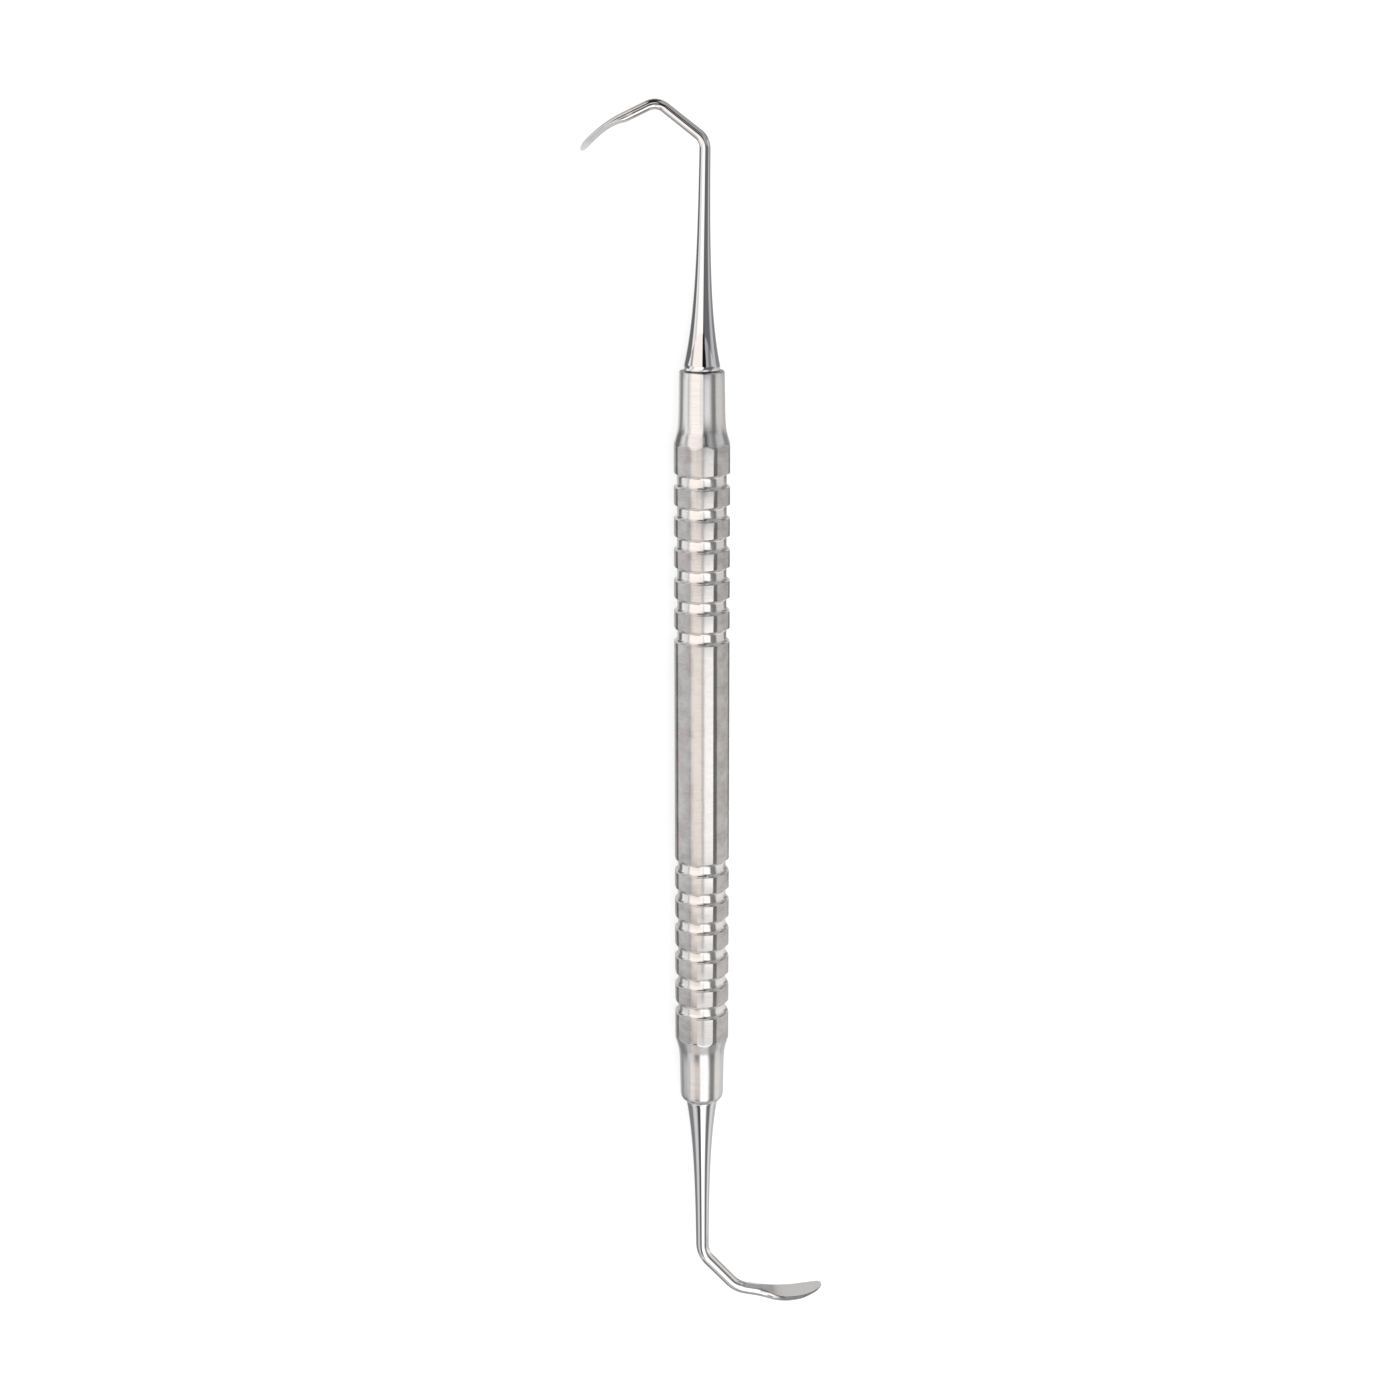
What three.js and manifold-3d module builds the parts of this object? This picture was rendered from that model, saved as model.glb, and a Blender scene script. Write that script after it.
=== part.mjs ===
// Double-ended dental hand instrument: an octagonal stainless handle with ring grooves and a turned
// nose at each end, and a one-piece insert (tang, tapered shank and blade) held in each nose.
// One insert ends in a slim hooked blade, the other in a broader spoon blade.
//
// Millimetres and degrees, +Z up. The handle lies on one of its eight flats along the X axis, its
// hooked end towards +X, and the origin is the middle of that flat.

import * as THREE from "three";
import { LoftGeometry } from "three/addons/geometries/LoftGeometry.js";
import { mergeVertices } from "three/addons/utils/BufferGeometryUtils.js";
import Module from "manifold-3d";

const wasm = await Module();
wasm.setup();

// Handle: an octagonal bar with broken edges.
const FLATS = 8;
const ACROSS_FLATS = 8;
const BROKEN_EDGE = 0.46; // width of the narrow flat along each corner of the bar
const HALF_LENGTH = 56;
const AXIS_HEIGHT = ACROSS_FLATS / 2;
const CLEAR_OF_BAR = 4.5; // a turning radius outside the bar's corners

// Ring grooves, as many each side of the plain middle band, with a fillet at each side of the floor.
const GROOVES_PER_END = 6;
const FIRST_GROOVE = 17.7;
const GROOVE_PITCH = 4.55;
const GROOVE_RADIUS = 3.57;
const GROOVE_FLOOR = 0.84;
const GROOVE_FILLET = 0.6;

// Nose turned on each end of the bar: a cone, a fillet and a nearly straight barrel.
const CONE_START = 44.1;
const CONE_END = { x: 47.1, r: 3.63 };
const BARREL_START = { x: 50.2, r: 3.34 };
const BARREL_END_RADIUS = 3.25;
const HOOK_RIM = { along: 0.2, inwards: 0.2 }; // the round at the nose's end face
const SPOON_RIM = { along: 1.1, inwards: 0.8 };

// Blind bore in each nose, and the tang in it.
const BORE_RADIUS = 2.05;
const BORE_DEPTH = 18;
const TANG_RADIUS = 2;
const TANG_LENGTH = 17.5;
const TANG_CHAMFER = 0.4;
const SEAT_GAP = 0.1; // from the nose's end face to the insert's shoulder

const BAR_SEGMENTS = 32; // a multiple of FLATS, so that the facets fit the flats
const BORE_SEGMENTS = 24;
const FILLET_STEPS = 2; // facets in each fillet of a groove
const NOSE_FILLET_STEPS = 4;
const RIM_STEPS = 3;
const SECTION_POINTS = 24; // round an insert
const FACE_POINTS = 5; // of those, between the two edges of a blade's ground face

// Inserts, drawn from the shoulder outwards. A short straight collar is as wide as the taper's base.
// The wire leaves it at a small heading, and is bent to the left in its own plane three times; the
// last bend is the long sweep of the blade. Its radius falls from the base to the shank's as an
// exponential. A row of the blade gives, at a distance along it, the half-width across the ground
// face, the depth of the rounded back behind the centreline, the height of the face in front of it,
// and how far the face looks up from the plane of the bends.
const HOOK = {
  collar: 0.6,
  taper: { base: 2.6, shank: 0.72, length: 8.5 },
  heading: -0.8,
  bends: [
    { straight: 29.9, angle: 53, radius: 2.4 },
    { straight: 5.8, angle: 63.1, radius: 2.3 },
    { straight: 4.4, angle: 25.5, radius: 15 },
  ],
  blade: [
    { at: 0, half: 0.735, back: 0.735, face: 0.735, lift: 15 },
    { at: 1.3, half: 0.72, back: 0.72, face: 0.69, lift: 17 },
    { at: 2.3, half: 0.72, back: 0.7, face: 0.34, lift: 21 },
    { at: 4.2, half: 0.72, back: 0.6, face: 0.12, lift: 26 },
    { at: 6.4, half: 0.8, back: 0.46, face: 0.04, lift: 34 },
    { at: 7.8, half: 0.78, back: 0.38, face: 0, lift: 38 },
    { at: 8.6, half: 0.5, back: 0.25, face: 0, lift: 40 },
    { at: 8.95, half: 0.15, back: 0.1, face: 0, lift: 40 },
  ],
};

const SPOON = {
  collar: 0.4,
  taper: { base: 2.34, shank: 0.9, length: 8.6 },
  heading: 0.25,
  bends: [
    { straight: 24.4, angle: 41, radius: 4.6 },
    { straight: 5.1, angle: 36, radius: 4.5 },
    { straight: 4.2, angle: 41, radius: 11.4 },
  ],
  blade: [
    { at: 0, half: 0.925, back: 0.925, face: 0.925, lift: 8 },
    { at: 1.9, half: 0.93, back: 0.92, face: 0.88, lift: 8 },
    { at: 3.4, half: 1.12, back: 0.95, face: 0.66, lift: 8 },
    { at: 5, half: 1.5, back: 1, face: 0.45, lift: 8 },
    { at: 6.8, half: 1.7, back: 1, face: 0.36, lift: 8 },
    { at: 8.8, half: 1.68, back: 0.93, face: 0.3, lift: 8 },
    { at: 10.8, half: 1.38, back: 0.7, face: 0.15, lift: 8 },
    { at: 12.1, half: 0.9, back: 0.45, face: 0.05, lift: 8 },
    { at: 12.6, half: 0.4, back: 0.2, face: 0, lift: 8 },
  ],
};

const TAPER_STEP = 2; // between sections of the shank near its base
const SHANK_STEP = 5; // and further out, where it hardly tapers
const TAPER_END = 18;
const BEND_STEP = 12; // degrees between sections in a bend
const BLADE_STEP = 0.8;
const TOE_SECTIONS = 5; // in the last stretch, where the outline rounds off
const TOE_LENGTH = 1.2;

const ROUNDING = 1e-6; // slack against an extra step from a rounded length

const radians = THREE.MathUtils.degToRad;

function solid(geometry) {
  const bare = geometry.clone();
  bare.deleteAttribute("normal");
  bare.deleteAttribute("uv");
  const merged = mergeVertices(bare);
  const mesh = new wasm.Mesh({
    numProp: 3,
    vertProperties: merged.attributes.position.array,
    triVerts: new Uint32Array(merged.index.array),
  });
  return new wasm.Manifold(mesh);
}

function geometryOf(body) {
  const mesh = body.getMesh();
  const geometry = new THREE.BufferGeometry();
  geometry.setAttribute("position", new THREE.BufferAttribute(mesh.vertProperties, 3));
  geometry.setIndex(new THREE.BufferAttribute(mesh.triVerts, 1));
  geometry.computeVertexNormals();
  return geometry;
}

// A turned solid from (x, radius) points, its axis laid along +X and a facet facing each flat.
function turned(profile, segments) {
  const points = profile.map(([x, r]) => new THREE.Vector2(r, x));
  return new THREE.LatheGeometry(points, segments).rotateY(Math.PI / segments).rotateZ(-Math.PI / 2);
}

// The octagonal bar, with its corners broken.
function octagonalBar() {
  const apothem = ACROSS_FLATS / 2;
  const halfFlat = apothem * Math.tan(Math.PI / FLATS);
  const setBack = BROKEN_EDGE / 2 / Math.cos(Math.PI / FLATS);
  const outline = [];
  for (let i = 0; i < FLATS; i++) {
    const turn = (i * 2 * Math.PI) / FLATS;
    for (const along of [-(halfFlat - setBack), halfFlat - setBack]) {
      outline.push(new THREE.Vector2(apothem, along).rotateAround(new THREE.Vector2(), turn));
    }
  }
  const extrusion = { depth: 2 * HALF_LENGTH, bevelEnabled: false };
  return new THREE.ExtrudeGeometry(new THREE.Shape(outline), extrusion)
    .translate(0, 0, -HALF_LENGTH)
    .rotateY(Math.PI / 2);
}

function grooveProfile(centre) {
  const floor = GROOVE_FLOOR / 2;
  const fillet = new THREE.EllipseCurve(
    floor, GROOVE_RADIUS + GROOVE_FILLET, GROOVE_FILLET, GROOVE_FILLET, -Math.PI / 2, 0, false,
  );
  const side = fillet.getPoints(FILLET_STEPS).map((p) => [p.x, p.y]);
  const wall = [...side, [floor + GROOVE_FILLET, CLEAR_OF_BAR]];
  const farWall = wall.map(([x, r]) => [centre + x, r]);
  const nearWall = wall.map(([x, r]) => [centre - x, r]).reverse();
  return [...nearWall, ...farWall];
}

function noseProfile(round) {
  const cone = (CLEAR_OF_BAR - CONE_END.r) / (CONE_END.x - CONE_START);
  const barrel = (BARREL_START.r - BARREL_END_RADIUS) / (HALF_LENGTH - BARREL_START.x);
  // The fillet's control point is where the cone's line meets the barrel's.
  const reach = (CONE_END.r - BARREL_START.r - barrel * (BARREL_START.x - CONE_END.x)) / (cone - barrel);
  const fillet = new THREE.QuadraticBezierCurve(
    new THREE.Vector2(CONE_END.x, CONE_END.r),
    new THREE.Vector2(CONE_END.x + reach, CONE_END.r - cone * reach),
    new THREE.Vector2(BARREL_START.x, BARREL_START.r),
  );
  const rim = new THREE.EllipseCurve(
    HALF_LENGTH - round.along, BARREL_END_RADIUS - round.inwards, round.along, round.inwards,
    Math.PI / 2, 0, true,
  );
  const curves = [...fillet.getPoints(NOSE_FILLET_STEPS), ...rim.getPoints(RIM_STEPS)];
  const curved = curves.map((p) => [p.x, p.y]);
  return [[CONE_START, CLEAR_OF_BAR], ...curved, [HALF_LENGTH, 0]];
}

// The outline that the lathe leaves, from the middle of the bar to one end.
function halfProfile(rim) {
  const grooves = [];
  for (let i = 0; i < GROOVES_PER_END; i++) {
    grooves.push(...grooveProfile(FIRST_GROOVE + i * GROOVE_PITCH));
  }
  return [...grooves, ...noseProfile(rim)];
}

function handleGeometry() {
  const hookHalf = halfProfile(HOOK_RIM);
  const spoonHalf = halfProfile(SPOON_RIM).map(([x, r]) => [-x, r]).reverse();
  const boreStart = HALF_LENGTH - BORE_DEPTH;
  const bore = turned(
    [
      [boreStart, 0],
      [boreStart, BORE_RADIUS],
      [HALF_LENGTH + 1, BORE_RADIUS],
      [HALF_LENGTH + 1, 0],
    ],
    BORE_SEGMENTS,
  );
  const body = solid(octagonalBar())
    .intersect(solid(turned([...spoonHalf, ...hookHalf], BAR_SEGMENTS)))
    .subtract(solid(bore))
    .subtract(solid(bore.clone().rotateZ(Math.PI)));
  return geometryOf(body);
}

// One value of the blade's rows at a distance along it, by a cubic that doesn't overshoot.
function bladeValue(rows, key, at) {
  const last = rows.length - 1;
  const i = Math.min(Math.max(rows.findLastIndex((row) => row.at <= at), 0), last - 1);
  const slope = (k) => (rows[k + 1][key] - rows[k][key]) / (rows[k + 1].at - rows[k].at);
  const tangent = (k) => {
    if (k === 0) return 0;
    if (k === last) return slope(last - 1);
    const [before, after] = [slope(k - 1), slope(k)];
    return before * after <= 0 ? 0 : (2 * before * after) / (before + after);
  };
  const span = rows[i + 1].at - rows[i].at;
  const t = THREE.MathUtils.clamp((at - rows[i].at) / span, 0, 1);
  const [t2, t3] = [t * t, t * t * t];
  return (
    (2 * t3 - 3 * t2 + 1) * rows[i][key] +
    (t3 - 2 * t2 + t) * span * tangent(i) +
    (3 * t2 - 2 * t3) * rows[i + 1][key] +
    (t3 - t2) * span * tangent(i + 1)
  );
}

// The wire's centreline as {s, x, y, heading} stops at every change of curvature, and a function
// that gives the place and heading at any distance s along it.
function centreline(spec) {
  const stops = [];
  let heading = radians(spec.heading);
  let place = { s: 0, x: HALF_LENGTH + SEAT_GAP + spec.collar, y: 0 };
  for (const bend of spec.bends) {
    stops.push({ ...place, heading, curvature: 0 });
    const { straight, radius } = bend;
    const angle = radians(bend.angle);
    place = {
      s: place.s + straight,
      x: place.x + straight * Math.cos(heading),
      y: place.y + straight * Math.sin(heading),
    };
    stops.push({ ...place, heading, curvature: 1 / radius });
    place = {
      s: place.s + radius * angle,
      x: place.x + radius * (Math.sin(heading + angle) - Math.sin(heading)),
      y: place.y + radius * (Math.cos(heading) - Math.cos(heading + angle)),
    };
    heading += angle;
  }
  const length = place.s;
  const at = (s) => {
    const stop = stops.findLast((candidate) => candidate.s <= s);
    const run = s - stop.s;
    const turn = run * stop.curvature;
    if (turn === 0) {
      return {
        x: stop.x + run * Math.cos(stop.heading),
        y: stop.y + run * Math.sin(stop.heading),
        heading: stop.heading,
      };
    }
    return {
      x: stop.x + (Math.sin(stop.heading + turn) - Math.sin(stop.heading)) / stop.curvature,
      y: stop.y + (Math.cos(stop.heading) - Math.cos(stop.heading + turn)) / stop.curvature,
      heading: stop.heading + turn,
    };
  };
  return { stops, length, at };
}

function stepsBetween(from, to, step) {
  const count = Math.max(1, Math.ceil((to - from) / step - ROUNDING));
  return Array.from({ length: count }, (_, i) => from + ((to - from) * i) / count);
}

// Distances along the wire that get a section, closer together where it tapers or turns.
function sectionDistances(spec, line) {
  const bladeStart = line.length - spec.blade.at(-1).at;
  const toeStart = line.length - TOE_LENGTH;
  const distances = [...stepsBetween(0, TAPER_END, TAPER_STEP)];
  let from = TAPER_END;
  for (const stop of [...line.stops.slice(1), { s: bladeStart, curvature: 0 }]) {
    const to = Math.min(stop.s, bladeStart);
    const previous = line.stops.findLast((candidate) => candidate.s <= from);
    const step = previous.curvature ? radians(BEND_STEP) / previous.curvature : SHANK_STEP;
    if (to > from) distances.push(...stepsBetween(from, to, step));
    from = Math.max(from, to);
  }
  distances.push(...stepsBetween(bladeStart, toeStart, BLADE_STEP));
  for (let i = 0; i <= TOE_SECTIONS; i++) {
    distances.push(toeStart + TOE_LENGTH * Math.sin((i * Math.PI) / 2 / TOE_SECTIONS));
  }
  return distances;
}

// A section of the wire: an ellipse whose front is ground off flat at the height of the face.
function wireSection(spec, line, s) {
  const along = s - (line.length - spec.blade.at(-1).at);
  const { base, shank, length } = spec.taper;
  const round = shank + (base - shank) * Math.exp(-s / length);
  const value = (key) => (along < 0 ? round : bladeValue(spec.blade, key, along));
  const [half, back, face] = ["half", "back", "face"].map(value);
  const lift = radians(bladeValue(spec.blade, "lift", along));
  const { x, y, heading } = line.at(s);
  const across = new THREE.Vector3(
    Math.sin(lift) * Math.sin(heading),
    -Math.sin(lift) * Math.cos(heading),
    Math.cos(lift),
  );
  const front = new THREE.Vector3(
    -Math.cos(lift) * Math.sin(heading),
    Math.cos(lift) * Math.cos(heading),
    Math.sin(lift),
  );
  const evenEdge = Math.PI / 2 - (Math.PI * (FACE_POINTS + 1)) / SECTION_POINTS;
  const edge = Math.min(Math.asin(Math.min(face / back, 1)), evenEdge);
  const backSteps = SECTION_POINTS - FACE_POINTS - 1;
  const angles = [];
  for (let i = 0; i <= backSteps; i++) {
    angles.push(edge - (i * (Math.PI + 2 * edge)) / backSteps);
  }
  for (let i = 1; i <= FACE_POINTS; i++) {
    angles.push(Math.PI - edge - (i * (Math.PI - 2 * edge)) / (FACE_POINTS + 1));
  }
  return angles.map((angle) =>
    new THREE.Vector3(x, y, AXIS_HEIGHT)
      .addScaledVector(across, half * Math.cos(angle))
      .addScaledVector(front, Math.min(back * Math.sin(angle), face)),
  );
}

function roundSection(x, radius) {
  const points = [];
  for (let i = 0; i < SECTION_POINTS; i++) {
    const angle = (-2 * Math.PI * i) / SECTION_POINTS + Math.PI / 2;
    points.push(new THREE.Vector3(x, radius * Math.sin(angle), AXIS_HEIGHT + radius * Math.cos(angle)));
  }
  return points;
}

function insertGeometry(spec) {
  const line = centreline(spec);
  const shoulder = HALF_LENGTH + SEAT_GAP;
  const tangEnd = shoulder - TANG_LENGTH;
  const sections = [
    roundSection(tangEnd, TANG_RADIUS - TANG_CHAMFER),
    roundSection(tangEnd + TANG_CHAMFER, TANG_RADIUS),
    roundSection(shoulder, TANG_RADIUS),
    roundSection(shoulder, spec.taper.base),
    ...sectionDistances(spec, line).map((s) => wireSection(spec, line, s)),
  ];
  return new LoftGeometry(sections, { capStart: true, capEnd: true });
}

function part(name, geometry, colour, roughness) {
  const material = new THREE.MeshStandardMaterial({ color: colour, roughness, metalness: 1 });
  const mesh = new THREE.Mesh(geometry, material);
  mesh.name = name;
  return mesh;
}

const handle = part("handle", handleGeometry(), 0xc9c5c2, 0.35);
handle.position.z = AXIS_HEIGHT;

const hookInsert = part("hook_insert", insertGeometry(HOOK), 0xd6d6d6, 0.12);

const spoonInsert = part("spoon_insert", insertGeometry(SPOON), 0xd6d6d6, 0.12);
spoonInsert.rotation.z = Math.PI;

const scaler = new THREE.Group();
scaler.add(handle, hookInsert, spoonInsert);

export default scaler;
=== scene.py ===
"""Double-ended dental hand instrument: an octagonal grooved handle of satin steel with a turned nose at
each end, and a mirror-polished insert in each nose, one with a slim hooked blade and one with a spoon
blade. Lengths are millimetres until a mesh is made, and angles are degrees where a name says so."""

from math import acos, ceil, cos, exp, pi, radians, sin, sqrt

import bmesh
import bpy
from mathutils import Matrix, Vector


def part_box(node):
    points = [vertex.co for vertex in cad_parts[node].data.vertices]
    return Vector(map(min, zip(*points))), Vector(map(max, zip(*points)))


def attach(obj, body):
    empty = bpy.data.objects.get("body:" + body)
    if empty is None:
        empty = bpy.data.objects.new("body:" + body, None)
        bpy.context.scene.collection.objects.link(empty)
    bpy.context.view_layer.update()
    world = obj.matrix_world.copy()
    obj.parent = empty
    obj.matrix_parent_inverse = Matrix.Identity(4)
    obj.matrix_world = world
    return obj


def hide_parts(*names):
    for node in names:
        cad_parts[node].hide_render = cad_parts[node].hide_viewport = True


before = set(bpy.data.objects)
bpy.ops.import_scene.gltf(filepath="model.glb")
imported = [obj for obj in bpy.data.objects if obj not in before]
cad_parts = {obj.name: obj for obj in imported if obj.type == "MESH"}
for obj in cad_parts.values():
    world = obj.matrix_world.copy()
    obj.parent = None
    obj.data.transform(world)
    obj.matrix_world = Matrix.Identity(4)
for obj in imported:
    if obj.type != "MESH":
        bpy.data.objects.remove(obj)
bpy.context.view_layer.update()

MM = 0.001

# The handle's size and place come from the frame.
handle_low, handle_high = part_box("handle")
ACROSS_FLATS = (handle_high.z - handle_low.z) / MM
HALF_LENGTH = (handle_high.x - handle_low.x) / MM / 2
AXIS_HEIGHT = (handle_high.z + handle_low.z) / MM / 2

# Section of the bar: eight flats, a little crowned by polishing, with a strip of the round bar
# left between each two.
FLATS = 8
FLAT_CROWN_RADIUS = 10.65
BAR_RADIUS = 4.115
CORNER_BLEND = 0.03

# Lengthwise outline that the lathe leaves on the handle.
GROOVES_PER_END = 6
FIRST_GROOVE = 17.7
GROOVE_PITCH = 4.55
GROOVE_RADIUS = 3.57
GROOVE_HALF_FLOOR = 0.42
GROOVE_FILLET = 0.6
EDGE_ROUND = 0.07
CONE_SLOPE = 0.29
CONE_AT_RADIUS_4 = 45.82
CONE_END_X = 47.1
BARREL_START = (50.2, 3.34)
BARREL_END_RADIUS = 3.25
HOOK_RIM = (0.2, 0.2)  # along the axis, inwards
SPOON_RIM = (1.1, 0.8)
BORE_RADIUS = 2.05
BORE_DEPTH = 18
BORE_CHAMFER = 0.15
# The nose's end face is painted near black round the insert, painted shade for the gap and its dark
# reflection; these two give its reach.
SEAM_SHADE_DEPTH = 0.05
SEAM_SHADE_INSET = 0.1
MIDDLE_ROWS = (3, 6, 9, 12, 15)  # sections of the plain middle band, from the handle's middle
ARC_STEPS = 8  # sections round a groove's fillet and round the nose's rim
EDGE_STEPS = 3  # sections in each softened edge
CONE_STEPS = 5
FILLET_STEPS = 9
BARREL_STEPS = 5

# Tang of each insert in its bore.
SEAT_GAP = 0.1
TANG_RADIUS = 2
TANG_LENGTH = 17.5
TANG_CHAMFER = 0.4
COLLAR_EDGE = 0.06

# Mesh density, and the edge of a blade's ground face.
HANDLE_COLUMNS = 288
WIRE_POINTS = 112
WIRE_STEP = 0.2
TOE_LENGTH = 1.2
TOE_RINGS = 12
BLADE_EDGE_BLEND = 0.05
# Where the bevelled strip beside a blade's ground face is painted dark, a painted reflection.
PAINTED_REFLECTION_START = 4.6  # along the blade
PAINTED_REFLECTION_FADE = 1.2
PAINTED_REFLECTION_BELOW = 0.1  # how far the painted dark strip reaches behind the centreline, as a share of the back's depth

# Inserts, from the shoulder outwards, as bends of a wire in its own plane; the last bend is the blade.
# A blade row is: distance along it, half-width, depth of the back, height of the ground face, lift.
HOOK = {
    "collar": 0.6,
    "taper": (2.6, 0.72, 8.5),  # base radius, shank radius, length over which it falls
    "heading": -0.8,
    "bends": [(29.9, 53, 2.4), (5.8, 63.1, 2.3), (4.4, 25.5, 15)],  # straight, angle, radius
    "painted_bevel_reflection": 0,  # how strongly the strip between the face and the edge is painted dark, a painted reflection
    "blade": [
        (0, 0.735, 0.735, 0.735, 15),
        (1.3, 0.72, 0.72, 0.69, 17),
        (2.3, 0.72, 0.7, 0.34, 21),
        (4.2, 0.72, 0.6, 0.12, 26),
        (6.4, 0.8, 0.46, 0.04, 34),
        (7.8, 0.78, 0.38, 0, 38),
        (8.6, 0.5, 0.25, 0, 40),
        (8.95, 0.15, 0.1, 0, 40),
    ],
}
SPOON = {
    "collar": 0.4,
    "taper": (2.34, 0.9, 8.6),
    "heading": 0.25,
    "bends": [(24.4, 41, 4.6), (5.1, 36, 4.5), (4.2, 41, 11.4)],
    "painted_bevel_reflection": 1,
    "blade": [
        (0, 0.925, 0.925, 0.925, 8),
        (1.9, 0.93, 0.92, 0.88, 8),
        (3.4, 1.12, 0.95, 0.66, 8),
        (5, 1.5, 1, 0.45, 8),
        (6.8, 1.7, 1, 0.36, 8),
        (8.8, 1.68, 0.93, 0.3, 8),
        (10.8, 1.38, 0.7, 0.15, 8),
        (12.1, 0.9, 0.45, 0.05, 8),
        (12.6, 0.4, 0.2, 0, 8),
    ],
}


def smooth_min(a, b, blend):
    """The smaller of two values, with the corner between them rounded off."""
    overlap = max(blend - abs(a - b), 0) / blend
    return min(a, b) - overlap * overlap * blend / 4


def bezier(a, control, b, count):
    """Points of a quadratic curve from a to b, both left out."""
    points = []
    for i in range(1, count + 1):
        t = i / (count + 1)
        shares = ((1 - t) ** 2, 2 * t * (1 - t), t * t)
        points.append(tuple(shares[0] * p + shares[1] * q + shares[2] * r for p, q, r in zip(a, control, b)))
    return points


# ---------------------------------------------------------------- handle


def bar_radius(angle):
    """Radius of the bar at an angle round its axis, before the lathe cuts it."""
    pitch = 2 * pi / FLATS
    off = (angle + pitch / 2) % pitch - pitch / 2
    behind = FLAT_CROWN_RADIUS - ACROSS_FLATS / 2
    crown = sqrt(FLAT_CROWN_RADIUS**2 - (behind * sin(off)) ** 2) - behind * cos(off)
    return smooth_min(crown, BAR_RADIUS, CORNER_BLEND)


def groove_rows(centre, radius):
    """(x, r, turned) from the land before a groove to the land after it, for one column of the bar."""
    reach = acos(1 - (radius - GROOVE_RADIUS) / GROOVE_FILLET)
    wall = []
    arc_end = reach - EDGE_ROUND / GROOVE_FILLET
    for i in range(ARC_STEPS + 1):
        turn = arc_end * i / ARC_STEPS
        x = GROOVE_HALF_FLOOR + GROOVE_FILLET * sin(turn)
        wall.append((x, GROOVE_RADIUS + GROOVE_FILLET * (1 - cos(turn)), 1))
    crease = (GROOVE_HALF_FLOOR + GROOVE_FILLET * sin(reach), radius)
    land = (crease[0] + EDGE_ROUND, radius)
    rounded = [(x, r, 0.5) for x, r in bezier(wall[-1][:2], crease, land, EDGE_STEPS)]
    far_side = wall + rounded + [(*land, 0)]
    near_side = [(-x, r, t) for x, r, t in reversed(far_side)]
    return [(centre + x, r, t) for x, r, t in near_side + far_side]


def nose_rows(rim, radius):
    """(x, r, turned) from the last land to the bottom of the bore, for one column of the bar."""
    crease_x = CONE_AT_RADIUS_4 + (ACROSS_FLATS / 2 - radius) / CONE_SLOPE

    def cone(x):
        return radius - CONE_SLOPE * (x - crease_x)

    blend = 3 * EDGE_ROUND
    land = (crease_x - blend, radius)
    cone_start = (crease_x + blend, cone(crease_x + blend))
    rows = [(*land, 0)]
    rows += [(x, r, 0.5) for x, r in bezier(land, (crease_x, radius), cone_start, EDGE_STEPS)]
    cone_end = (CONE_END_X, cone(CONE_END_X))
    for i in range(CONE_STEPS):
        x = cone_start[0] + (cone_end[0] - cone_start[0]) * i / CONE_STEPS
        rows.append((x, cone(x), 1))
    barrel_slope = (BARREL_START[1] - BARREL_END_RADIUS) / (HALF_LENGTH - BARREL_START[0])
    meet = (cone_end[1] - BARREL_START[1] - barrel_slope * (BARREL_START[0] - cone_end[0])) / (
        CONE_SLOPE - barrel_slope
    )
    control = (cone_end[0] + meet, cone_end[1] - CONE_SLOPE * meet)
    fillet = bezier(cone_end, control, BARREL_START, FILLET_STEPS)
    rows += [(x, r, 1) for x, r in [cone_end, *fillet, BARREL_START]]
    along, inwards = rim
    rim_start = HALF_LENGTH - along
    for i in range(1, BARREL_STEPS):
        share = i / BARREL_STEPS
        x = BARREL_START[0] + (rim_start - BARREL_START[0]) * share
        rows.append((x, BARREL_START[1] + (BARREL_END_RADIUS - BARREL_START[1]) * share, 1))
    for i in range(ARC_STEPS + 1):
        turn = pi / 2 * i / ARC_STEPS
        rows.append((rim_start + along * sin(turn), BARREL_END_RADIUS - inwards * (1 - cos(turn)), 1))
    rows.append((HALF_LENGTH, BORE_RADIUS + BORE_CHAMFER, 1))
    rows.append((HALF_LENGTH - BORE_CHAMFER, BORE_RADIUS, 1))
    rows.append((HALF_LENGTH - BORE_DEPTH, BORE_RADIUS, 1))
    return rows


def seam_shade(x, radius):
    """1 on the nose's end face, which is painted near black as painted shade, standing for the shadowed gap
    and its dark reflection, so that a dark line shows round the insert, else 0.
    """
    return 1 if abs(x) > HALF_LENGTH - SEAM_SHADE_DEPTH and radius < BARREL_END_RADIUS - SEAM_SHADE_INSET else 0


def half_rows(rim, radius):
    """One column of the handle, from its middle to one end."""
    rows = [(x, radius, 0) for x in MIDDLE_ROWS]
    for i in range(GROOVES_PER_END):
        centre = FIRST_GROOVE + i * GROOVE_PITCH
        rows += groove_rows(centre, radius)
        if i < GROOVES_PER_END - 1:
            rows.append((centre + GROOVE_PITCH / 2, radius, 0))
    return rows + nose_rows(rim, radius)


def add_attribute(mesh, name, values):
    attribute = mesh.attributes.new(name, "FLOAT", "POINT")
    attribute.data.foreach_set("value", values)


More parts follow.
